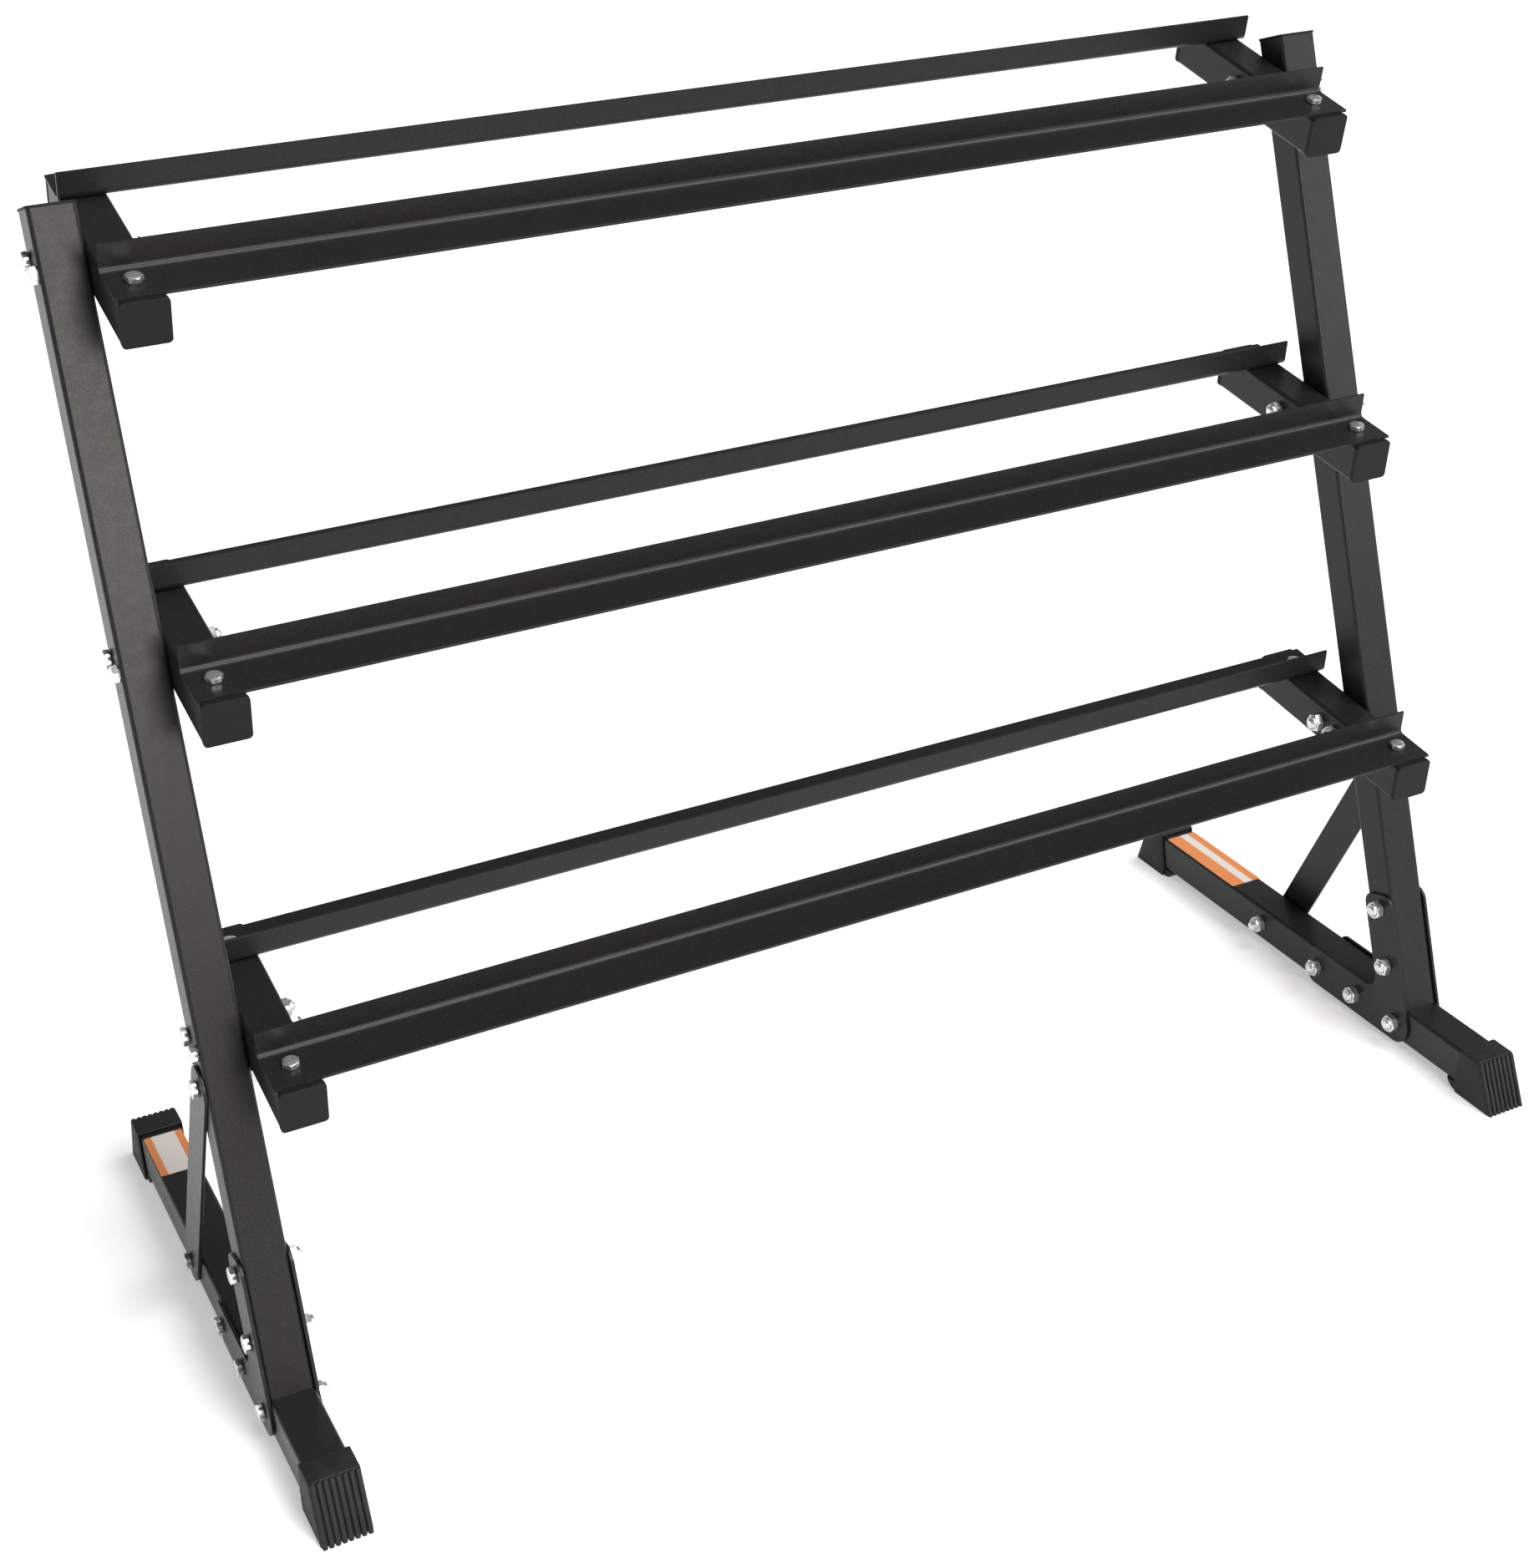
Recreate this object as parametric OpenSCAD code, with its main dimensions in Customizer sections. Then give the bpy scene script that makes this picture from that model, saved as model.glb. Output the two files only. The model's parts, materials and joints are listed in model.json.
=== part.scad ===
// Three-tier dumbbell rack: two mirrored side frames joined by three pairs of angle rails.
// X runs along the rails, Y from front to back, Z up. The floor is z = 0, and the origin is
// on the floor at the middle of the rack. Every joint is bolted, and nothing moves.

/* [Overall] */
// Distance over the outer faces of the two uprights
rack_length = 1208; // [900:2:1500]
// Front to back, over the tips of the foot boots
rack_depth = 614; // [560:2:760]
// Side of the square tube that the frames are made of
tube = 38; // [36:1:40]
// Wall thickness of the tube
wall = 2; // [1.5:0.5:3]
// Outer corner radius of the tube
tube_r = 3.5; // [3:0.5:5]

/* [Side frames] */
// Clear height under the base rails
floor_gap = 10; // [8:1:14]
// Length of the upright's front edge, without its cap
upright_len = 972; // [965:1:1100]
// Angle that the uprights lean back from vertical
lean = 16.1; // [12:0.1:18]
// Front tip of the foot boot to the upright's front face, along the base rail
foot_setback = 134; // [125:1:150]

/* [Tiers] */
// Height of the lowest arm's top where it meets the upright's front face
first_tier_z = 350; // [345:1:380]
// Height from one tier to the next
tier_pitch = 300; // [280:1:300]
// Slope of the lowest arms, front end down
bottom_tilt = 8.5; // [6:0.5:14]
// Slope of the middle arms, front end down
middle_tilt = 9.5; // [6:0.5:14]
// Slope of the top arms, front end down
top_tilt = 14; // [6:0.5:14]
// Length of an arm over its two caps
arm_len = 223.5; // [220:0.5:260]
// How far an arm reaches ahead of the upright's front face
arm_reach = 98.5; // [96:0.5:110]

/* [Angle rails] */
// Width of a rail's flat leg
rail_flat = 46; // [44:1:48]
// Height of a rail's upright leg
rail_lip = 25.5; // [20:0.5:32]
// Steel thickness of a rail
rail_t = 2.5; // [2:0.5:3]
// Inside bend radius of a rail
rail_bend = 4.5; // [2:0.5:5]
// How far a rail's ends stand out past the arms' outer faces
rail_over = 2; // [0:0.5:4]
// Front tip of an arm to the front rail's edge
front_inset = 5.7; // [5.5:0.1:8]
// Back tip of an arm to the back rail's edge
back_inset = 5.3; // [4:0.1:12]

/* [Plates] */
// Thickness of the gusset plates and braces
plate_t = 3; // [2.5:0.5:4]
// How far a gusset stands out past the tube's edges
gusset_proud = 2; // [0:0.5:3]
// How far a gusset runs past its end bolts
gusset_end = 15; // [14:0.5:22]
// Corner radius of a gusset's ends
gusset_r = 12; // [6:1:13]
// Fillet radius in a gusset's inner corner
gusset_fillet = 14; // [6:1:20]
// Bolt spacing of a gusset along the upright
gusset_up_pitch = 60; // [55:1:65]
// Bolt spacing of a gusset along the base rail
gusset_base_pitch = 63; // [55:1:66]
// Width of a brace
brace_w = 38; // [30:1:40]
// Corner joint to the brace's lower bolt, along the base rail
brace_foot = 229; // [215:1:240]
// Corner joint to the brace's upper bolt, along the upright
brace_head = 280; // [270:1:282]

/* [Caps and boots] */
// Thickness of an arm cap's face
cap_t = 5; // [3:0.5:5]
// How far an arm cap stands out past the tube's sides
cap_proud = 0.4; // [0:0.1:1]
// Thickness of an upright cap's face
top_cap_t = 2.2; // [1.5:0.1:5]
// How far an upright cap stands out past the tube's sides
top_cap_proud = 0.8; // [0.5:0.1:2]
// Wall of a foot boot's sleeve
boot_wall = 2.5; // [2:0.5:3]
// How far a boot's sleeve covers the tube's top
boot_cover = 22; // [18:1:28]
// Ribs across a boot's sloping face
boot_ribs = 8; // [6:1:9]

/* [Fasteners] */
// Spacing of the two bolts that hold an arm
arm_bolt_pitch = 24; // [20:1:24]
// Length of the bolts through an upright and an arm
arm_bolt_len = 88; // [88:1:95]
// Length of the bolts through the gussets and braces
plate_bolt_len = 55; // [54:1:60]
// Length of the bolts through the rails and arms
rail_bolt_len = 50; // [49:1:55]

/* [Hidden] */
SIDES = ["left", "right"];
TIERS = ["bottom", "middle", "top"];
ENDS = ["front", "back"];
FACES = ["outer", "inner"];

// Colours
STEEL_BLACK = [0.16, 0.16, 0.155];
PLASTIC_BLACK = [0.10, 0.10, 0.10];
RUBBER_BLACK = [0.19, 0.19, 0.18];
ZINC = [0.78, 0.79, 0.80];
NYLON = [0.86, 0.86, 0.84];
LABEL_ORANGE = [0.90, 0.50, 0.22];

// Fine facets for round parts, and a small step that keeps cuts open
$fn = 64;
eps = 0.01;

// Main places
inner_x = rack_length / 2 - tube;
base_z = floor_gap + tube;
foot_y = foot_setback - rack_depth / 2;
half = tube / 2;
boot_tip = 27;
base_half = rack_depth / 2 - boot_tip;

// Fastener sizes: shank, head width, head height, nut width, nut height with its collar, and without
RAIL_FIX = [8, 13, 5.3, 13, 8, 6];
FRAME_FIX = [10, 14, 6, 16, 10, 7.5];
bolt_tip = 0.8;
function hole_r(fix) = fix[0] / 2 + 0.25;

// Clearance of plug stubs in the tubes, and of the boots' sleeves round them
fit_gap = 0.2;
stub_len = 14;
stub_wall = 1.8;

// Label sizes: width, thickness, length on the left and on the right, and gap to the boot
label_w = 36;
label_t = 0.3;
label_len_left = 68;
label_len_right = 126;
label_gap = 8;

function tilt_of(t) = t == "bottom" ? bottom_tilt : t == "middle" ? middle_tilt : top_tilt;
function level_of(t) = t == "bottom" ? 0 : t == "middle" ? 1 : 2;

// Centre lines cross this far behind the upright's front face, for an arm at angle t
function cross_u(t) = half * (1 - sin(lean + t)) / cos(lean + t);

// [y, z] of the corner joint, and of points along the upright and the base rail from it
function corner() = [foot_y + cross_u(0), base_z - half];
function on_upright(d) = corner() + d * [sin(lean), cos(lean)];
function on_base(d) = corner() + [d, 0];

// [y, z] where an arm's top meets the upright's front face, and points u along and v above it
function tier_z(t) = first_tier_z + level_of(t) * tier_pitch;
function arm_origin(t) = [foot_y + (tier_z(t) - base_z) * tan(lean), tier_z(t)];
function arm_point(t, u, v) =
    arm_origin(t) + u * [cos(tilt_of(t)), sin(tilt_of(t))] + v * [-sin(tilt_of(t)), cos(tilt_of(t))];

// Bolt places as [y, z]
function arm_bolt_u(t) = [for (k = [-1, 1]) cross_u(tilt_of(t)) + k * arm_bolt_pitch / 2];
ARM_BOLTS = [for (t = TIERS, u = arm_bolt_u(t)) arm_point(t, u, -half)];
GUSSET_UP = [on_upright(2 * gusset_up_pitch), on_upright(gusset_up_pitch)];
GUSSET_BASE = [corner(), on_base(gusset_base_pitch), on_base(2 * gusset_base_pitch)];
GUSSET_BOLTS = concat(GUSSET_UP, GUSSET_BASE);
BRACE_ENDS = [on_base(brace_foot), on_upright(brace_head)];

// Middles of the front and the back rail's flat legs, along the arm
function rail_u(e) =
    e == "front" ? front_inset + rail_flat / 2 - arm_reach
                 : arm_len - arm_reach - back_inset - rail_flat / 2;

// ---- Frames of reference ----

// Children are drawn for the right side, with x = 0 on the frame's inner face
module on_side(s) {
    if (s == "right") translate([inner_x, 0, 0]) children();
    else mirror([1, 0, 0]) translate([inner_x, 0, 0]) children();
}

// A flat outline in (y, z), made solid from x to x + t
module across(x, t) {
    translate([x, 0, 0]) rotate([90, 0, 90]) linear_extrude(t) children();
}

// Frame of a tier's arms: x across, y back along the arm, z square to its top
module on_arm(t) {
    translate([0, arm_origin(t)[0], arm_origin(t)[1]]) rotate([tilt_of(t), 0, 0]) children();
}

// Children point inwards along X from the point p = [y, z]
module inwards(p, x) {
    translate([x, p[0], p[1]]) rotate([0, -90, 0]) children();
}

// ---- Shared shapes ----

module round_square(size, r) {
    square([size, size - 2 * r], center = true);
    square([size - 2 * r, size], center = true);
    for (x = [-1, 1], y = [-1, 1])
        translate([x, y] * (size / 2 - r)) circle(r);
}

module tube_section() {
    difference() {
        round_square(tube, tube_r);
        round_square(tube - 2 * wall, tube_r - wall);
    }
}

// Cross bores for the side frame's bolts, from x to x + len
module cross_bores(points, x, len) {
    for (p = points)
        translate([x, p[0], p[1]]) rotate([0, 90, 0]) cylinder(r = hole_r(FRAME_FIX), h = len);
}

// Hex prism with its top corners turned off
module hex_body(width, h) {
    top_r = 0.47 * width;
    intersection() {
        cylinder(r = width / 2 / cos(30), h = h, $fn = 6);
        cylinder(r1 = top_r + h / tan(30), r2 = top_r, h = h);
    }
}

// Hex bolt pointing along +Z, its head's bearing face at z = 0
module bolt(fix, len) {
    r = fix[0] / 2;
    mirror([0, 0, 1]) hex_body(fix[1], fix[2]);
    translate([0, 0, -eps]) cylinder(r = r, h = len - bolt_tip + eps);
    translate([0, 0, len - bolt_tip]) cylinder(r1 = r, r2 = r - bolt_tip, h = bolt_tip);
}

// Lock nut with a nylon collar, its bearing face at z = 0
module nut(fix) {
    collar_r = 0.44 * fix[3];
    edge = 0.7;
    difference() {
        union() {
            hex_body(fix[3], fix[5]);
            translate([0, 0, fix[5] - eps]) cylinder(r = collar_r, h = fix[4] - fix[5] - edge + eps);
            translate([0, 0, fix[4] - edge]) cylinder(r1 = collar_r, r2 = collar_r - edge, h = edge);
        }
        translate([0, 0, -1]) cylinder(r = fix[0] / 2 + 0.05, h = fix[4] + 2);
    }
}

// Plug for a tube's end: the face from z = 0 to t, a hollow stub below it
module plug(t, proud) {
    outer = tube - 2 * wall - 2 * fit_gap;
    linear_extrude(t) round_square(tube + 2 * proud, tube_r + proud);
    translate([0, 0, -stub_len]) linear_extrude(stub_len + eps)
        difference() {
            round_square(outer, tube_r - wall - fit_gap);
            square(outer - 2 * stub_wall, center = true);
        }
}

// ---- Side frames ----

module base_rail(s) {
    color(STEEL_BLACK) on_side(s) difference() {
        translate([half, -base_half, base_z - half]) rotate([-90, 0, 0])
            linear_extrude(2 * base_half) tube_section();
        cross_bores(concat(GUSSET_BASE, [BRACE_ENDS[0]]), -1, tube + 2);
    }
}

module upright(s) {
    below = tube * tan(lean) + 1;
    color(STEEL_BLACK) on_side(s) difference() {
        translate([0, foot_y, base_z]) rotate([-lean, 0, 0]) translate([half, half, -1])
            linear_extrude(upright_len + 1) tube_section();
        // The foot is cut flat, to stand on the base rail
        translate([-1, foot_y - tube, base_z - below]) cube([tube + 2, 3 * tube, below]);
        cross_bores(concat(ARM_BOLTS, GUSSET_UP, [BRACE_ENDS[1]]), -1, tube + 2);
    }
}

module upright_cap(s) {
    color(PLASTIC_BLACK) on_side(s)
        translate([0, foot_y, base_z]) rotate([-lean, 0, 0]) translate([half, half, upright_len])
            plug(top_cap_t, top_cap_proud);
}

// One leg of a gusset, from the corner joint along +X, its end bolt at d
module gusset_leg(d) {
    w = tube / 2 + gusset_proud;
    translate([0, -w]) square([d + gusset_end - gusset_r, 2 * w]);
    translate([0, gusset_r - w]) square([d + gusset_end, 2 * (w - gusset_r)]);
    for (k = [-1, 1])
        translate([d + gusset_end - gusset_r, k * (w - gusset_r)]) circle(gusset_r);
}

module gusset_outline() {
    w = tube / 2 + gusset_proud;
    // The inner corner, the fillet's centre, and where the fillet meets the two legs
    reach = (1 + sin(lean)) / cos(lean);
    inner = [w * reach, w];
    centre = inner * (w + gusset_fillet) / w;
    circle(w);
    gusset_leg(2 * gusset_base_pitch);
    rotate(90 - lean) gusset_leg(2 * gusset_up_pitch);
    difference() {
        polygon([inner - [1, 1], [centre[0], w - 1], [centre[0], w], centre,
                 centre - gusset_fillet * [cos(lean), -sin(lean)],
                 centre - (gusset_fillet + 1) * [cos(lean), -sin(lean)]]);
        translate(centre) circle(gusset_fillet);
    }
}

module gusset(s, f) {
    x = f == "outer" ? tube : -plate_t;
    color(STEEL_BLACK) on_side(s) difference() {
        across(x, plate_t) translate(corner()) gusset_outline();
        cross_bores(GUSSET_BOLTS, x - 1, plate_t + 2);
    }
}

module brace(s) {
    span = BRACE_ENDS[1] - BRACE_ENDS[0];
    angle = atan2(span[1], span[0]);
    color(STEEL_BLACK) on_side(s) difference() {
        across(tube, plate_t) translate(BRACE_ENDS[0]) rotate(angle) {
            translate([0, -brace_w / 2]) square([norm(span), brace_w]);
            circle(d = brace_w);
            translate([norm(span), 0]) circle(d = brace_w);
        }
        cross_bores(BRACE_ENDS, tube - 1, plate_t + 2);
    }
}

// Boot for the back end of a base rail: u runs outwards from the tube's end
module boot_body() {
    width = tube + 2 * boot_wall;
    top = base_z + boot_wall;
    top_u = 5;
    rib_r = 2.4;
    rib_edge = 0.5;
    slope = atan2(boot_tip - rib_r - top_u, top);
    lug_w = tube;
    lug_r = 13;
    lug_u = -28;
    rib_pitch = (width - 2 * (rib_r + rib_edge)) / (boot_ribs - 1);
    rib_len = top / cos(slope);
    difference() {
        union() {
            // Sleeve and sloping end
            across(-boot_wall, width)
                polygon([[-boot_cover, top], [top_u, top], [boot_tip - rib_r, 0],
                         [lug_u + 2, 0], [lug_u + 2, floor_gap - boot_wall],
                         [lug_u, floor_gap]]);
            // Tongue under the tube, its end rounded up to the tube
            across(half - lug_w / 2, lug_w) difference() {
                translate([lug_u - lug_r, 0]) square([lug_r + 3, floor_gap]);
                difference() {
                    translate([lug_u - lug_r - 1, -1]) square([lug_r + 1, lug_r + 1]);
                    translate([lug_u, lug_r]) circle(lug_r);
                }
            }
            // Ribs down the sloping end, cut off at the floor and at the top
            intersection() {
                for (k = [0:boot_ribs - 1])
                    translate([rib_edge + rib_r - boot_wall + k * rib_pitch, boot_tip - rib_r, 0])
                        rotate([slope, 0, 0]) translate([0, 0, -rib_r])
                            cylinder(r = rib_r, h = rib_len + 2 * rib_r, $fn = 32);
                translate([-tube, -boot_cover, 0]) cube([3 * tube, boot_cover + 2 * boot_tip, top - 0.6]);
            }
        }
        // Socket for the tube
        translate([half, -3 * tube, base_z - half]) rotate([-90, 0, 0])
            linear_extrude(3 * tube) round_square(tube + 2 * fit_gap, tube_r + fit_gap);
    }
}

module foot_boot(s, e) {
    color(RUBBER_BLACK) on_side(s) {
        if (e == "back") translate([0, base_half, 0]) boot_body();
        else mirror([0, 1, 0]) translate([0, base_half, 0]) boot_body();
    }
}

module label(s) {
    len = s == "left" ? label_len_left : label_len_right;
    color(LABEL_ORANGE) on_side(s)
        translate([half - label_w / 2, base_half - boot_cover - label_gap - len, base_z])
            cube([label_w, len, label_t]);
}

// ---- Tiers ----

module arm(s, t) {
    color(STEEL_BLACK) on_side(s) difference() {
        on_arm(t) difference() {
            translate([-half, cap_t - arm_reach, -half]) rotate([-90, 0, 0])
                linear_extrude(arm_len - 2 * cap_t) tube_section();
            for (e = ENDS)
                translate([-half, rail_u(e), -tube - 1]) cylinder(r = hole_r(RAIL_FIX), h = tube + 2);
        }
        cross_bores(ARM_BOLTS, -tube - 1, tube + 2);
    }
}

module arm_cap(s, t, e) {
    u = e == "front" ? cap_t - arm_reach : arm_len - arm_reach - cap_t;
    color(PLASTIC_BLACK) on_side(s) on_arm(t)
        translate([-half, u, -half]) rotate([e == "front" ? 90 : -90, 0, 0])
            plug(cap_t, cap_proud);
}

// Rail section with its outside corner at the origin: flat leg along -X, lip along +Y
module rail_section() {
    r = rail_bend + rail_t;
    translate([-rail_flat, 0]) square([rail_flat - r, rail_t]);
    translate([-rail_t, r]) square([rail_t, rail_lip - r]);
    translate([-r, r]) intersection() {
        difference() {
            circle(r);
            circle(rail_bend);
        }
        translate([0, -r]) square(r);
    }
}

module rail(t, e) {
    len = 2 * (inner_x + rail_over);
    back = e == "back";
    corner_u = rail_u(e) + (back ? -1 : 1) * rail_flat / 2;
    color(STEEL_BLACK) on_arm(t) difference() {
        translate([0, corner_u, 0]) across(-len / 2, len) mirror([back ? 1 : 0, 0]) rail_section();
        for (k = [-1, 1])
            translate([k * (inner_x - half), rail_u(e), -1]) cylinder(r = hole_r(RAIL_FIX), h = rail_t + 2);
    }
}

// ---- Fasteners: one group of separate solids for each kind and side ----

module arm_bolts(s) {
    color(ZINC) on_side(s) for (p = ARM_BOLTS) inwards(p, tube) bolt(FRAME_FIX, arm_bolt_len);
}

module arm_nuts(s) {
    color(NYLON) on_side(s) for (p = ARM_BOLTS) inwards(p, -tube) nut(FRAME_FIX);
}

module gusset_bolts(s) {
    color(ZINC) on_side(s) for (p = GUSSET_BOLTS) inwards(p, tube + plate_t) bolt(FRAME_FIX, plate_bolt_len);
}

module gusset_nuts(s) {
    color(NYLON) on_side(s) for (p = GUSSET_BOLTS) inwards(p, -plate_t) nut(FRAME_FIX);
}

module brace_bolts(s) {
    color(ZINC) on_side(s) for (p = BRACE_ENDS) inwards(p, tube + plate_t) bolt(FRAME_FIX, plate_bolt_len);
}

module brace_nuts(s) {
    color(NYLON) on_side(s) for (p = BRACE_ENDS) inwards(p, 0) nut(FRAME_FIX);
}

module rail_bolts(s) {
    color(ZINC) on_side(s) for (t = TIERS, e = ENDS)
        on_arm(t) translate([-half, rail_u(e), rail_t]) mirror([0, 0, 1]) bolt(RAIL_FIX, rail_bolt_len);
}

module rail_nuts(s) {
    color(NYLON) on_side(s) for (t = TIERS, e = ENDS)
        on_arm(t) translate([-half, rail_u(e), -tube]) mirror([0, 0, 1]) nut(RAIL_FIX);
}

// ---- Assembly ----

for (s = SIDES) {
    base_rail(s);
    upright(s);
    upright_cap(s);
    for (f = FACES)
        gusset(s, f);
    brace(s);
    for (e = ENDS)
        foot_boot(s, e);
    for (t = TIERS)
        arm(s, t);
    for (t = TIERS, e = ENDS)
        arm_cap(s, t, e);
    arm_bolts(s);
    arm_nuts(s);
    gusset_bolts(s);
    gusset_nuts(s);
    brace_bolts(s);
    brace_nuts(s);
    rail_bolts(s);
    rail_nuts(s);
    label(s);
}
for (t = TIERS, e = ENDS)
    rail(t, e);
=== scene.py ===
import json
import math
from collections import namedtuple
from functools import partial

import bmesh
import bpy
import numpy as np
from mathutils import Matrix, Vector

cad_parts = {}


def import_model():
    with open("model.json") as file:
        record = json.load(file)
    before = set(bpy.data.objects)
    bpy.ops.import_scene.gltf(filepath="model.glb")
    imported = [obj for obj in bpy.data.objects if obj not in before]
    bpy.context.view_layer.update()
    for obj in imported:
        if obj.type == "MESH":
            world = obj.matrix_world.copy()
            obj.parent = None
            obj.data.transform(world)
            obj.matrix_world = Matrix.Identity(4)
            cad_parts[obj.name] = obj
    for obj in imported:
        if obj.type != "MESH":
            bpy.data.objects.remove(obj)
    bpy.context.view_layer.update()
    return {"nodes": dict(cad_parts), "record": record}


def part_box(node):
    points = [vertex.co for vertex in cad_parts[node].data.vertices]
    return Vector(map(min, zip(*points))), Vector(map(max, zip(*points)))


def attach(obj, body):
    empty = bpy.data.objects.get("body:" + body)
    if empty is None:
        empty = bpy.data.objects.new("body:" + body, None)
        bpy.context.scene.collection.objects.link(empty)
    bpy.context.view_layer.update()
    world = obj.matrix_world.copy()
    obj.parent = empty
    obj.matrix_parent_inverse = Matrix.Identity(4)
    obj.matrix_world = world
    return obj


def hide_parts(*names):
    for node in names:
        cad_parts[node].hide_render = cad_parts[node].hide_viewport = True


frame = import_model()

# Lengths below are in millimetres, and MM takes them to metres
MM = 0.001
SIDES = ("left", "right")
ENDS = ("front", "back")


# ---- Materials ----

def rgba(colour):
    return (*colour, 1.0)


class Finish:
    """A node material with one Principled shader. Values that are even all over go on its own sockets."""

    def __init__(self, name, **sockets):
        self.data = bpy.data.materials.new(name)
        self.data.use_nodes = True
        self.tree = self.data.node_tree
        self.shader = self.tree.nodes["Principled BSDF"]
        for socket, value in sockets.items():
            self.shader.inputs[socket.replace("_", " ")].default_value = value
        self.place = self.add("ShaderNodeTexCoord").outputs["Object"]

    def add(self, kind, settings=None, **inputs):
        """Adds a node. An input is named after its socket, or is _ and a number where names repeat."""
        node = self.tree.nodes.new(kind)
        for name, value in (settings or {}).items():
            setattr(node, name, value)
        for name, value in inputs.items():
            socket = node.inputs[int(name[1:]) if name[0] == "_" else name.replace("_", " ")]
            if isinstance(value, bpy.types.NodeSocket):
                self.tree.links.new(value, socket)
            else:
                socket.default_value = value
        return node

    def noise(self, size, detail=2.0, roughness=0.5):
        """Noise from 0 to 1 with blotches about size mm across. roughness weighs its finer layers."""
        return self.add("ShaderNodeTexNoise", Vector=self.place, Scale=1 / (size * MM), Detail=detail,
                        Roughness=roughness).outputs["Fac"]

    def span(self, value, low, high, to_low=0.0, to_high=1.0):
        """Takes low to high onto to_low to to_high, and holds the value at the ends."""
        return self.add("ShaderNodeMapRange", Value=value, From_Min=low, From_Max=high,
                        To_Min=to_low, To_Max=to_high).outputs[0]

    def maths(self, operation, a, b=0.0):
        return self.add("ShaderNodeMath", {"operation": operation}, _0=a, _1=b).outputs[0]

    def mix(self, share, a, b):
        return self.add("ShaderNodeMix", {"data_type": "RGBA"}, _0=share, _6=a, _7=b).outputs[2]

    def bump(self, height, depth, under=None):
        """Relief of depth mm where height goes from 0 to 1, over another relief where one is given."""
        node = self.add("ShaderNodeBump", Height=height, Distance=depth * MM)
        if under:
            self.tree.links.new(under, node.inputs["Normal"])
        return node.outputs[0]

    def set(self, socket, output):
        self.tree.links.new(output, self.shader.inputs[socket])


def powder_coat():
    """Baked-on textured paint: a fine mottled grain, with a faint orange-peel swell under it."""
    f = Finish("powder_coat", Specular_IOR_Level=0.2)
    grain = f.noise(1.5, 4.0, roughness=0.7)
    swell = f.noise(9.0, 2.0)
    cloud = f.noise(140.0, 3.0)
    body = f.mix(f.span(cloud, 0.35, 0.65), rgba((0.0074, 0.0074, 0.0077)), rgba((0.0088, 0.0086, 0.0085)))
    f.set("Base Color", f.mix(f.span(grain, 0.42, 0.68), body, rgba((0.0165, 0.0161, 0.0157))))
    relief = f.maths("ADD", grain, f.maths("MULTIPLY", swell, 0.3))
    f.set("Roughness", f.span(relief, 0.50, 0.80, 0.31, 0.40))
    f.set("Normal", f.bump(grain, 0.018, f.bump(swell, 0.02)))
    return f.data


def cap_plastic():
    """Moulded plastic with a faint spark-eroded grain."""
    f = Finish("cap_plastic", Specular_IOR_Level=0.1)
    grain = f.noise(0.45, 2.0)
    cloud = f.noise(30.0, 2.0)
    f.set("Base Color", f.mix(cloud, rgba((0.007, 0.007, 0.007)), rgba((0.011, 0.011, 0.0105))))
    f.set("Roughness", f.span(cloud, 0.3, 0.7, 0.44, 0.54))
    f.set("Normal", f.bump(grain, 0.02))
    return f.data


def boot_rubber():
    """Dull moulded rubber, a little paler and dustier in blotches."""
    f = Finish("boot_rubber", Specular_IOR_Level=0.22)
    grain = f.noise(0.6, 3.0)
    dust = f.noise(14.0, 4.0)
    clean = rgba((0.009, 0.009, 0.0092))
    dusty = rgba((0.016, 0.0155, 0.0155))
    f.set("Base Color", f.mix(f.span(dust, 0.4, 0.75), clean, dusty))
    f.set("Roughness", f.span(dust, 0.3, 0.7, 0.55, 0.70))
    f.set("Normal", f.bump(grain, 0.04))
    return f.data


def zinc():
    """Zinc plate with a satin bloom: cool metal, with a faint drift of colour and of gloss."""
    f = Finish("zinc", Metallic=0.9)
    drift = f.noise(5.0, 3.0)
    ripple = f.noise(2.0, 2.0)
    f.set("Base Color", f.mix(drift, rgba((0.60, 0.62, 0.64)), rgba((0.74, 0.73, 0.71))))
    f.set("Roughness", f.span(drift, 0.35, 0.65, 0.22, 0.34))
    f.set("Normal", f.bump(ripple, 0.0025))
    return f.data


def nylon():
    """The milky ring that locks a nut."""
    f = Finish("nylon", Roughness=0.42, Subsurface_Weight=0.25)
    f.shader.inputs["Subsurface Radius"].default_value = (2 * MM, 2 * MM, 1.6 * MM)
    f.set("Base Color", f.mix(f.noise(1.5, 2.0), rgba((0.74, 0.74, 0.71)), rgba((0.84, 0.84, 0.82))))
    f.set("Normal", f.bump(f.noise(0.4, 2.0), 0.01))
    return f.data


def sticker_film(name, pale, deep):
    """Printed film: an even colour with a little drift in its ink, and a faint ripple."""
    f = Finish(name, Specular_IOR_Level=0.4)
    ink = f.noise(2.5, 4.0)
    f.set("Base Color", f.mix(ink, rgba(deep), rgba(pale)))
    f.set("Roughness", f.span(ink, 0.3, 0.7, 0.38, 0.50))
    f.set("Normal", f.bump(f.noise(1.2, 2.0), 0.01))
    return f.data


def sticker_orange():
    return sticker_film("sticker_orange", (0.66, 0.235, 0.078), (0.54, 0.175, 0.052))


def sticker_white():
    return sticker_film("sticker_white", (0.66, 0.60, 0.57), (0.56, 0.51, 0.48))


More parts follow.
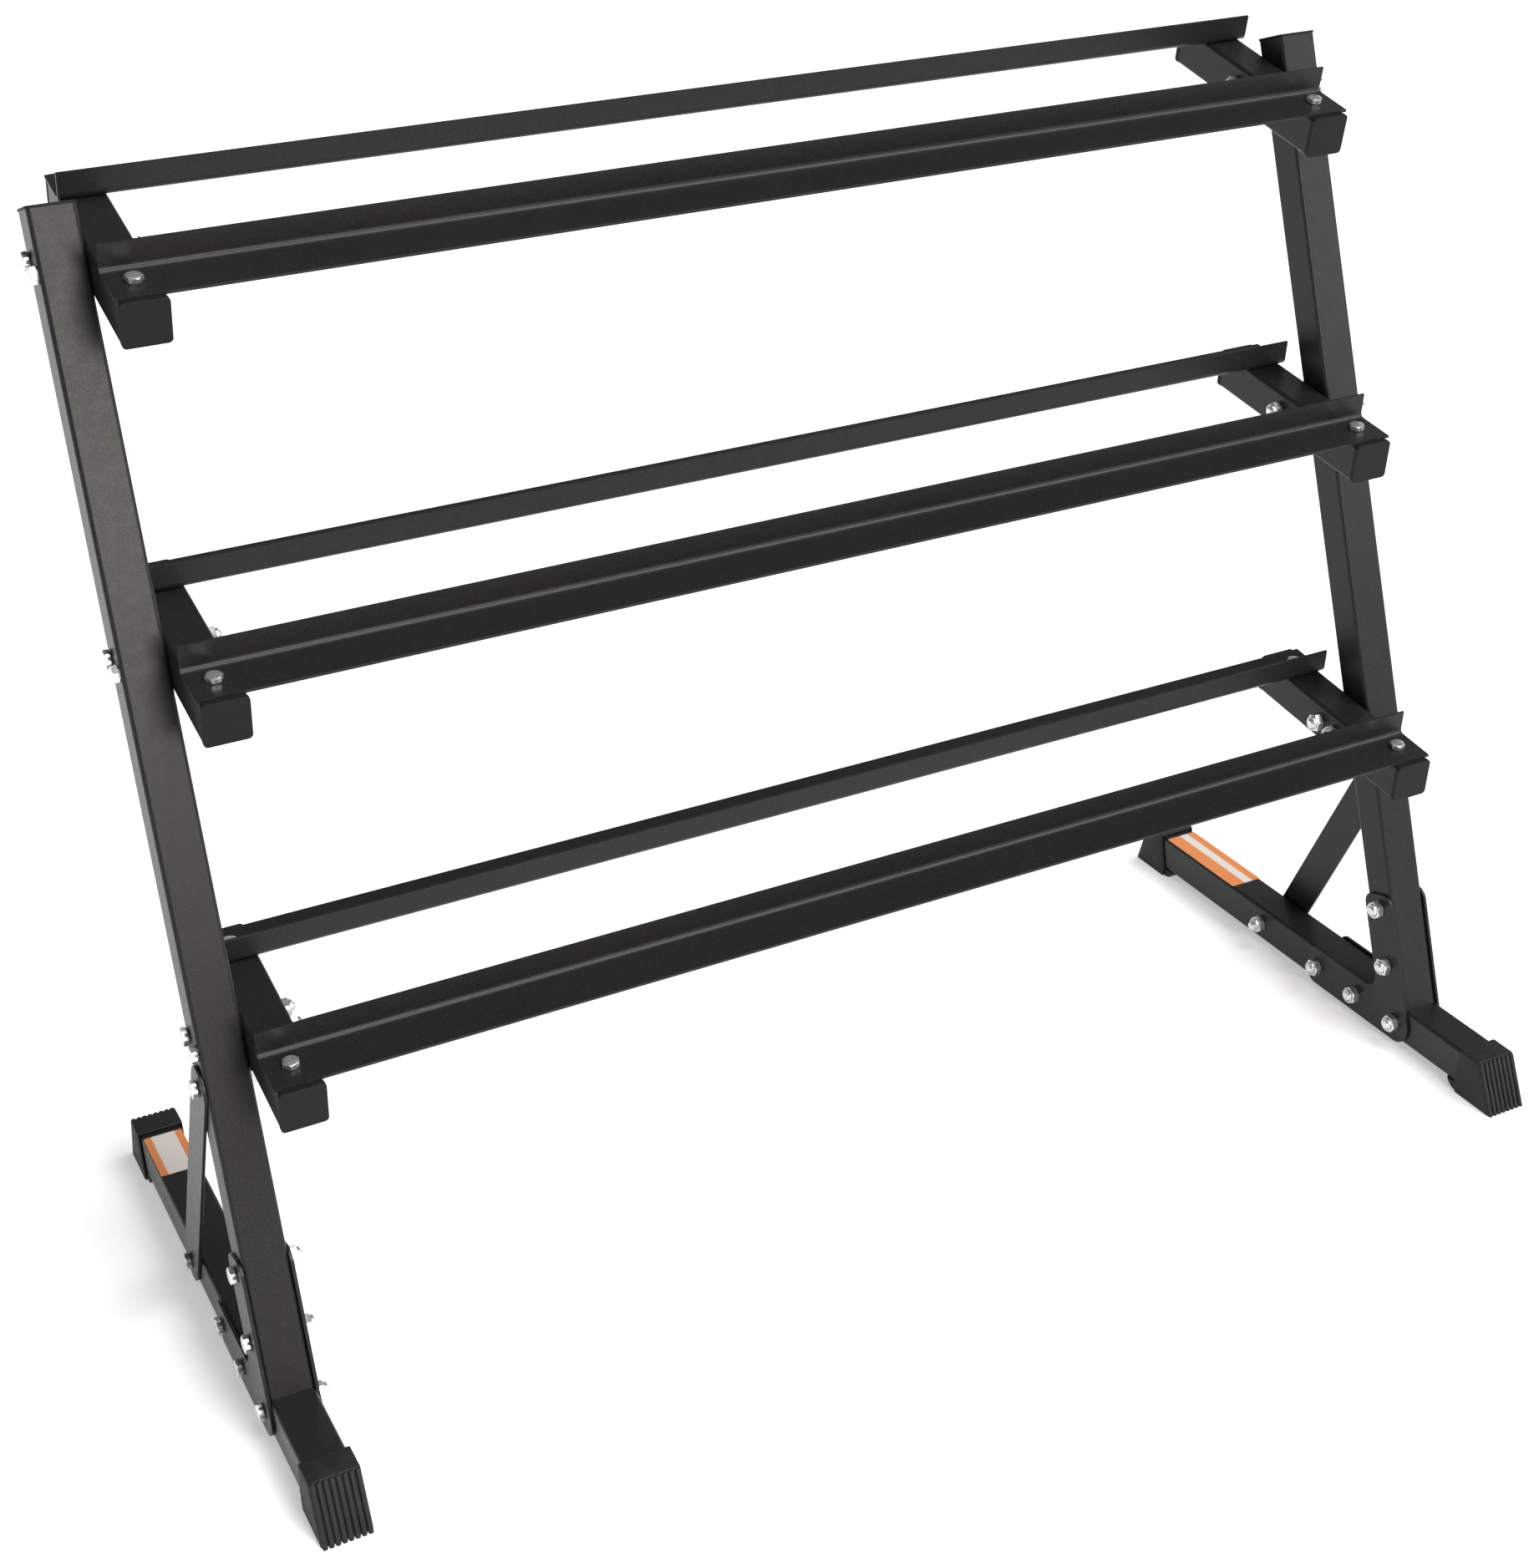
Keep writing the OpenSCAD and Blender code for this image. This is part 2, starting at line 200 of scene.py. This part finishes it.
def studio_paper():
    """White paper on a light table: it glows a little, so that shadows on it stay pale."""
    f = Finish("studio_paper", Roughness=0.9, Specular_IOR_Level=0.1, Emission_Color=rgba((1, 1, 1)),
               Emission_Strength=0.4)
    f.set("Base Color", f.mix(f.noise(900.0, 2.0), rgba((0.74, 0.74, 0.74)), rgba((0.76, 0.76, 0.76))))
    return f.data


FINISHES = {make.__name__: make() for make in (
    powder_coat, cap_plastic, boot_rubber, zinc, nylon, sticker_orange, sticker_white, studio_paper)}


# ---- Mesh helpers ----

SMOOTH_UNDER = math.radians(32)


def piece(name, mesh, finishes, slot, *nodes):
    """Puts a mesh in the scene as a piece of the rack that stands for those CAD nodes."""
    mesh.name = name
    made = bpy.data.objects.new(name, mesh)
    bpy.context.scene.collection.objects.link(made)
    for finish in finishes:
        mesh.materials.append(FINISHES[finish])
    mesh.polygons.foreach_set("use_smooth", [True] * len(mesh.polygons))
    mesh.set_sharp_from_angle(angle=SMOOTH_UNDER)
    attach(made, "root")
    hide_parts(*nodes)
    return made


def to_mesh(bm):
    bmesh.ops.recalc_face_normals(bm, faces=bm.faces)
    mesh = bpy.data.meshes.new("piece")
    bm.to_mesh(mesh)
    bm.free()
    return mesh


def stack(bm, rings, place, closed):
    """Skins rings of points, each a list of (x, y, z) in mm, and caps the two ends or joins them."""
    made = [[bm.verts.new(place @ (Vector(p) * MM)) for p in ring] for ring in rings]
    count = len(made[0])
    after = made[1:] + made[:1] if closed else made[1:]
    for low, high in zip(made, after):
        for i in range(count):
            j = (i + 1) % count
            bm.faces.new((low[i], low[j], high[j], high[i]))
    if not closed:
        bm.faces.new(made[0][::-1])
        bm.faces.new(made[-1])


def circle(radius, z, count):
    """A ring of points round the Z axis at height z."""
    return [(radius * math.cos(t), radius * math.sin(t), z) for t in turns(count)]


def turns(count):
    """The angles of points spaced evenly round a circle."""
    return [2 * math.pi * i / count for i in range(count)]


def solids(node):
    """The corner points of each separate solid in a CAD node, as arrays."""
    bm = bmesh.new()
    bm.from_mesh(frame["nodes"][node].data)
    bmesh.ops.remove_doubles(bm, verts=bm.verts, dist=1e-6)
    seen = set()
    groups = []
    for first in bm.verts:
        if first.index in seen:
            continue
        seen.add(first.index)
        group = [first]
        for v in group:
            for other in (e.other_vert(v) for e in v.link_edges):
                if other.index not in seen:
                    seen.add(other.index)
                    group.append(other)
        groups.append(np.array([v.co for v in group]))
    bm.free()
    return groups


# ---- Fasteners ----

# Points around a head or nut, and around a shank
AROUND = 48
AROUND_SHANK = AROUND // 2
# The slope of the cone that takes off a hexagon's corners
CHAMFER = math.tan(math.radians(30))
# In degrees: the first bolt's turn about its axis, each next one's further turn, and a nut's on its bolt
BOLT_TURN, BOLT_STEP, NUT_TURN = 17, 37, 23
# Shares of a hexagon's width: the radius of the round flat on its end, and of a nut's collar
FLAT_SHARE, COLLAR_SHARE = 0.47, 0.44
# How deep a thread is, as a share of its pitch, and its rings of points to a turn
THREAD_DEPTH, THREAD_RINGS = 0.61, 5

# A size of bolt and nut: the shank's radius, the head's width over its flats and its height, the nut's
# width over its flats, its height and that of its hexagon alone, and the thread's pitch
Fix = namedtuple("Fix", "shank head_flats head nut_flats nut nut_hex pitch")
M10 = Fix(shank=5.0, head_flats=14.0, head=6.0, nut_flats=16.0, nut=10.0, nut_hex=7.5, pitch=1.5)
M8 = Fix(shank=4.0, head_flats=13.0, head=5.3, nut_flats=13.0, nut=8.0, nut_hex=6.0, pitch=1.25)

# The fasteners of each kind of joint: their size, and the length of thread cut at the end of the bolts
JOINTS = {"arm": (M10, 16.0), "gusset": (M10, 14.0), "brace": (M10, 17.0), "rail": (M8, 12.0)}


def flat_r(flats):
    """The radius of the round flat that the chamfer leaves on the end of a hexagon of that width."""
    return FLAT_SHARE * flats


def hex_ring(flats, z, direction):
    """The edge where a hexagon's sides meet the cone that takes off its corners at its top or bottom, z.
    direction is 1 for a top and -1 for a bottom."""
    ring = []
    for t in turns(AROUND):
        r = flats / 2 / math.cos((t + math.pi / 6) % (math.pi / 3) - math.pi / 6)
        ring.append((r * math.cos(t), r * math.sin(t), z - direction * (r - flat_r(flats)) * CHAMFER))
    return ring


def thread_rings(fix, start, end):
    """A screw thread from start to end along the shank."""
    cut = THREAD_DEPTH * fix.pitch
    count = max(2, round((end - start) / fix.pitch * THREAD_RINGS))
    rings = []
    for k in range(count + 1):
        z = start + (end - start) * k / count
        ring = []
        for t in turns(AROUND_SHANK):
            phase = (z / fix.pitch - t / (2 * math.pi)) % 1
            r = fix.shank - cut * abs(2 * phase - 1)
            ring.append((r * math.cos(t), r * math.sin(t), z))
        rings.append(ring)
    return rings


def add_bolt(bm, fix, place, length, threaded):
    """A hex bolt, its bearing face at z = 0 and its last threaded millimetres cut with a real thread."""
    top = -fix.head
    flat = flat_r(fix.head_flats)
    rim, washer = 0.12, 0.7
    # Radius and height of the head's end, and of the round face that bears on the joint
    crown = ((0.6, top), (flat - 0.5, top), (flat - 0.1, top + rim))
    bearing = ((flat + 0.1, -washer / 2), (flat, -0.02), (fix.shank, -0.02))
    head = [circle(r, z, AROUND) for r, z in crown]
    head += [hex_ring(fix.head_flats, top + rim, -1), hex_ring(fix.head_flats, -washer, 1)]
    head += [circle(r, z, AROUND) for r, z in bearing]
    stack(bm, head, place, closed=False)
    in_head, run_in, tip = 0.5, 0.3, 0.9
    # How far the shank's chamfered end is below its full radius, and how far from its end
    chamfer = ((0.95, 0.5), (1.2, 0.0))
    shank = [circle(fix.shank, z, AROUND_SHANK) for z in (-in_head, length - threaded)]
    shank += thread_rings(fix, length - threaded + run_in, length - tip)
    shank += [circle(fix.shank - r, length - z, AROUND_SHANK) for r, z in chamfer]
    stack(bm, shank, place, closed=False)


def add_nut(bm, fix, place):
    """The steel of a lock nut: a hexagon chamfered at both ends, and a collar rolled in over the nylon."""
    bore = fix.shank + 0.1
    bore_chamfer, fillet, seat = 0.6, 0.2, fix.nut_hex + 0.3
    flat = flat_r(fix.nut_flats)
    collar = COLLAR_SHARE * fix.nut_flats
    roll = (collar - bore - 0.5) / 2
    rings = [circle(bore + bore_chamfer, 0, AROUND), circle(flat, 0, AROUND)]
    rings += [hex_ring(fix.nut_flats, 0.0, -1), hex_ring(fix.nut_flats, fix.nut_hex, 1)]
    rings += [circle(collar + fillet, fix.nut_hex, AROUND), circle(collar, fix.nut_hex + fillet, AROUND)]
    for t in (math.radians(a) for a in range(0, 181, 20)):
        r = collar - roll + roll * math.cos(t)
        rings.append(circle(r, fix.nut - roll + roll * math.sin(t), AROUND))
    rings += [circle(collar - 2 * roll, seat, AROUND), circle(bore, seat, AROUND)]
    rings.append(circle(bore, bore_chamfer, AROUND))
    stack(bm, rings, place, closed=True)


def add_nylon(bm, fix, place):
    """The ring inside a lock nut's collar, a little below its rolled edge."""
    inner, outer = fix.shank + 0.02, fix.shank + 0.56
    low, high = fix.nut_hex + 0.32, fix.nut - 1.4
    profile = ((outer, low), (outer, high), (inner, high), (inner, low))
    stack(bm, [circle(r, z, AROUND_SHANK) for r, z in profile], place, closed=True)


def bolt_places(node, fix):
    """Where each bolt of a CAD group is: its frame, with Z along the shank from the bearing face, and its
    length in mm. The head is the bolt's widest part, so it tells one end from the other."""
    places = []
    for i, points in enumerate(solids(node)):
        middle = points.mean(axis=0)
        axis = np.linalg.svd(points - middle)[2][0]
        along = (points - middle) @ axis
        across = np.linalg.norm(points - middle - np.outer(along, axis), axis=1)
        head = across > across.max() * 0.9
        if along[head].mean() > 0:
            axis, along = -axis, -along
        z = Vector(axis).normalized()
        x = Vector((0, 0, 1)) if abs(z.x) > 0.5 else Vector((1, 0, 0))
        x = (x - z * x.dot(z)).normalized()
        turn = Matrix((x, z.cross(x), z)).transposed().to_4x4()
        start = Vector(middle) + z * (along.min() + fix.head * MM)
        spin = Matrix.Rotation(math.radians(BOLT_TURN + BOLT_STEP * i), 4, "Z")
        length = (along.max() - along.min()) / MM - fix.head
        places.append((Matrix.Translation(start) @ turn @ spin, length))
    return places


def nut_place(points, bolts):
    """The frame of the nut with these points: on the nearest bolt's axis, Z away from its bearing face."""
    def off_axis(place):
        local = place.inverted() @ Vector(points.mean(axis=0))
        return math.hypot(local.x, local.y)
    bolt = min((place for place, length in bolts), key=off_axis)
    base = min((bolt.inverted() @ Vector(p)).z for p in points)
    return bolt @ Matrix.Translation((0, 0, base)) @ Matrix.Rotation(math.radians(NUT_TURN), 4, "Z")


def fasteners(kind, side):
    """The bolts of one kind of joint on one side, and their nuts with the nylon rings in them."""
    fix, threaded = JOINTS[kind]
    bolts = bolt_places(f"{kind}_bolts_{side}", fix)
    bm = bmesh.new()
    for place, length in bolts:
        add_bolt(bm, fix, place, length, threaded)
    piece(f"hex_bolts_{kind}_{side}", to_mesh(bm), ["zinc"], "zinc", f"{kind}_bolts_{side}")
    steel, rings = bmesh.new(), bmesh.new()
    for points in solids(f"{kind}_nuts_{side}"):
        place = nut_place(points, bolts)
        add_nut(steel, fix, place)
        add_nylon(rings, fix, place)
    piece(f"lock_nuts_{kind}_{side}", to_mesh(steel), ["zinc"], "zinc", f"{kind}_nuts_{side}")
    piece(f"nylon_rings_{kind}_{side}", to_mesh(rings), ["nylon"], None)


for side in SIDES:
    for kind in JOINTS:
        fasteners(kind, side)


# ---- Foot boots ----

def corner_turn(before, corner, after):
    """Which way is inwards at a corner, as a unit vector, and half the angle between its two edges."""
    a = (before - corner).normalized()
    b = (after - corner).normalized()
    return (a + b).normalized(), a.angle(b) / 2


def rounded(corners, radius, inset):
    """The outline of a convex shape with those corners, drawn in by inset, each corner an arc."""
    steps = 5
    outline = []
    for before, corner, after in zip(corners[-1:] + corners[:-1], corners, corners[1:] + corners[:1]):
        inwards, half = corner_turn(before, corner, after)
        centre = corner + inwards * radius / math.sin(half)
        span = math.pi / 2 - half
        for k in range(steps + 1):
            turn = span * (1 - 2 * k / steps)
            sign = 1 if (corner - before).cross(after - corner) > 0 else -1
            way = -inwards
            way.rotate(Matrix.Rotation(-sign * turn, 2))
            outline.append(centre + way * (radius - inset))
    return outline


def pillow(bm, outline, edge, half, place):
    """A shape drawn out to half each way along X, with round edges. outline gives its side view, in Y and
    Z, drawn in by some millimetres."""
    steps = [math.radians(a) for a in (90, 60, 30, 0)]
    ends = [(edge * (1 - math.sin(t)) - half, edge * (1 - math.cos(t))) for t in steps]
    ends += [(-x, inset) for x, inset in reversed(ends)]
    rings = [[(x, p.x, p.y) for p in outline(inset)] for x, inset in ends]
    stack(bm, rings, place, closed=False)


def carved(mesh, cutter):
    """The mesh with the cutter's volume taken out."""
    body, tool = (bpy.data.objects.new(m.name, m) for m in (mesh, cutter))
    for made in (body, tool):
        bpy.context.scene.collection.objects.link(made)
    cut = body.modifiers.new("socket", "BOOLEAN")
    cut.object = tool
    cut.solver = "EXACT"
    done = bpy.data.meshes.new_from_object(body.evaluated_get(bpy.context.evaluated_depsgraph_get()))
    for made in (body, tool):
        bpy.data.objects.remove(made)
    return done


# A boot is drawn from the side, in mm: Y runs out from the tube's end, and Z up from the floor
BOOT_WALL = 2.5
BOOT_TOP = 50.5
TOE_TOP, TOE_BOTTOM = 5.0, 24.6
SLEEVE = ((-22, BOOT_TOP), (TOE_TOP, BOOT_TOP), (TOE_BOTTOM, 0), (-26, 0), (-28, 10))
SLEEVE_ROUND, SLEEVE_EDGE = 1.7, 1.4
# The socket's gap round the tube at each Y, wider at its mouth, and under the tube
SOCKET = ((-60, 1.1), (-20, 1.1), (-16, 0.2), (-0.2, 0.2))
SOCKET_BED = 0.1
RIBS = 8
RIB_PITCH = 5.314
RIB_HALF, RIB_PROUD, RIB_ROOT = 2.15, 2.5, 1.5
RIB_LOW, RIB_HIGH = 0.0, 49.9
# How round a rib's shoulders are: 1 is an ellipse, and 0 a box
RIB_ROUND = 0.6
# How far a rib is drawn in at each distance from its ends
RIB_TAPER = ((0.0, 0.6), (0.25, 0.2), (0.8, 0.0))
TONGUE_Y, TONGUE_R = -28, 13
TONGUE_ROOT, TONGUE_GAP, TONGUE_EDGE = 8, 0.2, 1.0


def sleeve_side(inset):
    """The side of the boot's body, drawn in by inset."""
    return rounded([Vector(p) for p in SLEEVE], SLEEVE_ROUND, inset)


def sleeve(tube, floor_gap, place):
    """The boot's body with the tube's socket in it."""
    half = tube / 2
    body = bmesh.new()
    pillow(body, sleeve_side, SLEEVE_EDGE, half + BOOT_WALL, place)
    socket = bmesh.new()
    rings = []
    for y, gap in SOCKET:
        side, roof, base = half + gap, floor_gap + tube + gap, floor_gap - SOCKET_BED
        rings.append([(-side, y, base), (side, y, base), (side, y, roof), (-side, y, roof)])
    stack(socket, rings, place, closed=False)
    return carved(to_mesh(body), to_mesh(socket))


def tongue_side(top, inset):
    """The side of the tongue under the tube, flat below, its end rounded up to the tube."""
    r = TONGUE_R - inset
    reach = math.acos((TONGUE_R - top + inset) / r)
    arc = [reach * k / 8 for k in range(9)]
    side = [Vector((TONGUE_Y - r * math.sin(t), TONGUE_R - r * math.cos(t))) for t in arc]
    root = TONGUE_Y + TONGUE_ROOT
    return side + [Vector((root, top - inset)), Vector((root, inset))]


def rib_ring(x, z, inset):
    """A rib's cross-section at height z: a bar with round shoulders on the boot's sloping end."""
    face = TOE_TOP + (TOE_BOTTOM - TOE_TOP) * (BOOT_TOP - z) / BOOT_TOP
    half = RIB_HALF - inset
    ring = []
    for t in (math.pi * k / 10 for k in range(11)):
        across = math.copysign(abs(math.cos(t)) ** RIB_ROUND, math.cos(t)) * half
        ring.append((x + across, face + math.sin(t) ** RIB_ROUND * (RIB_PROUD - inset), z))
    ring += [(x - half, face - RIB_ROOT, z), (x + half, face - RIB_ROOT, z)]
    return ring


def foot_boot(side, end):
    """A boot on one end of a base rail: its sleeve, the ribs on its toe, and the tongue under the tube."""
    tube_low, tube_high = (Vector(p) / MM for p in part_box(f"base_rail_{side}"))
    tube = tube_high.x - tube_low.x
    tip = tube_low.y if end == "front" else tube_high.y
    turn = Matrix.Rotation(math.pi if end == "front" else 0.0, 4, "Z")
    place = Matrix.Translation(Vector(((tube_low.x + tube_high.x) / 2, tip, 0)) * MM) @ turn
    bm = bmesh.new()
    bm.from_mesh(sleeve(tube, tube_low.z, place))
    levels = [(RIB_LOW + up, inset) for up, inset in RIB_TAPER]
    levels += [(RIB_HIGH - down, inset) for down, inset in reversed(RIB_TAPER)]
    for k in range(RIBS):
        x = (k - (RIBS - 1) / 2) * RIB_PITCH
        stack(bm, [rib_ring(x, z, inset) for z, inset in levels], place, closed=False)
    outline = partial(tongue_side, tube_low.z - TONGUE_GAP)
    pillow(bm, outline, TONGUE_EDGE, tube / 2, place)
    name = f"rubber_boot_{side}_{end}"
    piece(name, to_mesh(bm), ["boot_rubber"], "boot_rubber", f"foot_boot_{side}_{end}")


for side in SIDES:
    for end in ENDS:
        foot_boot(side, end)


# ---- Stickers on the base rails ----

# The bands of each sticker from the rack's inner side outwards: finish, and share of the width
BANDS = {
    "left": (("sticker_orange", 0.19), ("sticker_white", 0.62), ("sticker_orange", 0.19)),
    "right": (("sticker_orange", 0.45), ("sticker_white", 0.28), ("sticker_orange", 0.27)),
}
STICKER_FINISHES = ["sticker_orange", "sticker_white"]
STICKER_ROUND = 1.8


def sticker(side):
    """A thin film with round corners and plain bands along the rail."""
    low, high = (Vector(p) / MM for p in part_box(f"label_{side}"))
    inner = low.x if side == "right" else high.x
    outwards = 1 if side == "right" else -1
    width = high.x - low.x
    arcs = [math.radians(a) for a in range(0, 91, 15)]
    stops = [(STICKER_ROUND * (1 - math.cos(t)), STICKER_ROUND * (1 - math.sin(t))) for t in arcs]
    edges = list(np.cumsum([share for finish, share in BANDS[side]])[:-1] * width)
    stops += [(edge, 0.0) for edge in edges]
    stops += [(width - across, inset) for across, inset in reversed(stops[:len(arcs)])]
    bm = bmesh.new()
    rings = []
    for across, inset in stops:
        x = inner + outwards * across
        y0, y1 = low.y + inset, high.y - inset
        rings.append([(x, y0, low.z), (x, y1, low.z), (x, y1, high.z), (x, y0, high.z)])
    stack(bm, rings, Matrix.Identity(4), closed=False)
    made = piece(f"sticker_{side}", to_mesh(bm), STICKER_FINISHES, "label_film", f"label_{side}")
    for face in made.data.polygons:
        across = abs(face.center.x / MM - inner)
        band = sum(across > edge for edge in edges)
        face.material_index = STICKER_FINISHES.index(BANDS[side][band][0])


for side in SIDES:
    sticker(side)


# ---- CAD nodes that stay, with their edges eased ----

# The width in mm and the segments of the round that each finish leaves on an edge
EASED = {"powder_coat": (0.5, 2), "cap_plastic": (1.0, 3)}
# Points closer than the first, in mm, are one, faces that turn less than the second, in degrees, are one,
# and edges that turn more than the third are rounded
SAME_POINT, SAME_FACE, SHARP_EDGE = 0.002, 0.5, 40


def ease(node, slot):
    """Gives a CAD node its finish, joins its triangles into whole faces and rounds its edges a little."""
    made = frame["nodes"][node]
    made.data.materials.clear()
    made.data.materials.append(FINISHES[slot])
    width, segments = EASED[slot]
    weld = made.modifiers.new("weld", "WELD")
    weld.merge_threshold = SAME_POINT * MM
    flat = made.modifiers.new("flat_faces", "DECIMATE")
    flat.decimate_type = "DISSOLVE"
    flat.angle_limit = math.radians(SAME_FACE)
    bevel = made.modifiers.new("eased_edges", "BEVEL")
    bevel.limit_method = "ANGLE"
    bevel.angle_limit = math.radians(SHARP_EDGE)
    bevel.width = width * MM
    bevel.segments = segments
    normals = made.modifiers.new("even_normals", "WEIGHTED_NORMAL")
    normals.keep_sharp = False


for part in frame["record"]["subparts"]:
    if part["material_slot"] in EASED:
        ease(part["node"], part["material_slot"])


# ---- Studio ----

# Lengths in the studio are in metres, and power in watts
FLOOR_HALF = 16.0


def floor():
    """A wide flat sheet of paper at z = 0."""
    mesh = bpy.data.meshes.new("studio_floor")
    h = FLOOR_HALF
    mesh.from_pydata([(-h, -h, 0), (h, -h, 0), (h, h, 0), (-h, h, 0)], [], [(0, 1, 2, 3)])
    made = bpy.data.objects.new("studio_floor", mesh)
    bpy.context.scene.collection.objects.link(made)
    mesh.materials.append(FINISHES["studio_paper"])


def softbox(name, place, target, size, power, colour):
    """A rectangle of soft light at a place, facing a target."""
    light = bpy.data.lights.new(name, "AREA")
    light.shape = "RECTANGLE"
    light.size, light.size_y = size
    light.energy = power
    light.color = colour
    made = bpy.data.objects.new(name, light)
    made.location = place
    made.rotation_euler = (Vector(target) - Vector(place)).to_track_quat("-Z", "Y").to_euler()
    bpy.context.scene.collection.objects.link(made)


def overhead(place, strength, spread):
    """Even light from a wide source far off in the direction of place, the same all over the floor."""
    light = bpy.data.lights.new("overhead", "SUN")
    light.energy = strength
    light.angle = math.radians(spread)
    made = bpy.data.objects.new("overhead", light)
    made.rotation_euler = Vector(place).to_track_quat("Z", "Y").to_euler()
    bpy.context.scene.collection.objects.link(made)


def camera():
    """Looks down along the rack from the front left, rolled a little about its line of sight."""
    place = Vector((-0.9406, -1.8940, 1.4567))
    azimuth, down, roll = (math.radians(a) for a in (27.538, 23.443, -1.526))
    flat = math.cos(down)
    ahead = Vector((math.sin(azimuth) * flat, math.cos(azimuth) * flat, -math.sin(down)))
    level = Vector((math.cos(azimuth), -math.sin(azimuth), 0))
    upright = level.cross(ahead)
    right = level * math.cos(roll) + upright * math.sin(roll)
    up = upright * math.cos(roll) - level * math.sin(roll)
    data = bpy.data.cameras.new("camera")
    data.sensor_fit = "HORIZONTAL"
    data.sensor_width = 36
    data.lens = 60.351
    data.shift_x, data.shift_y = -0.0582, -0.1059
    made = bpy.data.objects.new("camera", data)
    turn = Matrix((right, up, -ahead)).transposed()
    made.matrix_world = Matrix.Translation(place) @ turn.to_4x4()
    bpy.context.scene.collection.objects.link(made)
    bpy.context.scene.camera = made


def world():
    """A room that is pale all round and darker overhead."""
    made = bpy.data.worlds.new("studio")
    made.use_nodes = True
    tree = made.node_tree
    place = tree.nodes.new("ShaderNodeTexCoord")
    height = tree.nodes.new("ShaderNodeSeparateXYZ")
    fade = tree.nodes.new("ShaderNodeMapRange")
    fade.interpolation_type = "SMOOTHSTEP"
    fades = {"From Min": 0.3, "From Max": 0.58, "To Min": 0.68, "To Max": 0.15}
    for socket, value in fades.items():
        fade.inputs[socket].default_value = value
    tree.links.new(place.outputs["Generated"], height.inputs[0])
    tree.links.new(height.outputs["Z"], fade.inputs["Value"])
    tree.links.new(fade.outputs[0], tree.nodes["Background"].inputs["Strength"])
    tree.nodes["Background"].inputs["Color"].default_value = rgba((0.96, 0.97, 1.0))
    bpy.context.scene.world = made


floor()
camera()
world()
overhead((0.35, -0.45, 0.82), strength=3.9, spread=45)
softbox("front_strip", (0.1, -3.6, 1.75), (-0.55, 0, 0.8), (1.0, 1.5), 90, (1.0, 0.95, 0.88))
softbox("side_strip", (3.4, -3.4, 1.7), (0.55, 0, 0.8), (1.0, 1.6), 33, (1.0, 0.98, 0.96))
bpy.context.scene.view_settings.view_transform = "Standard"
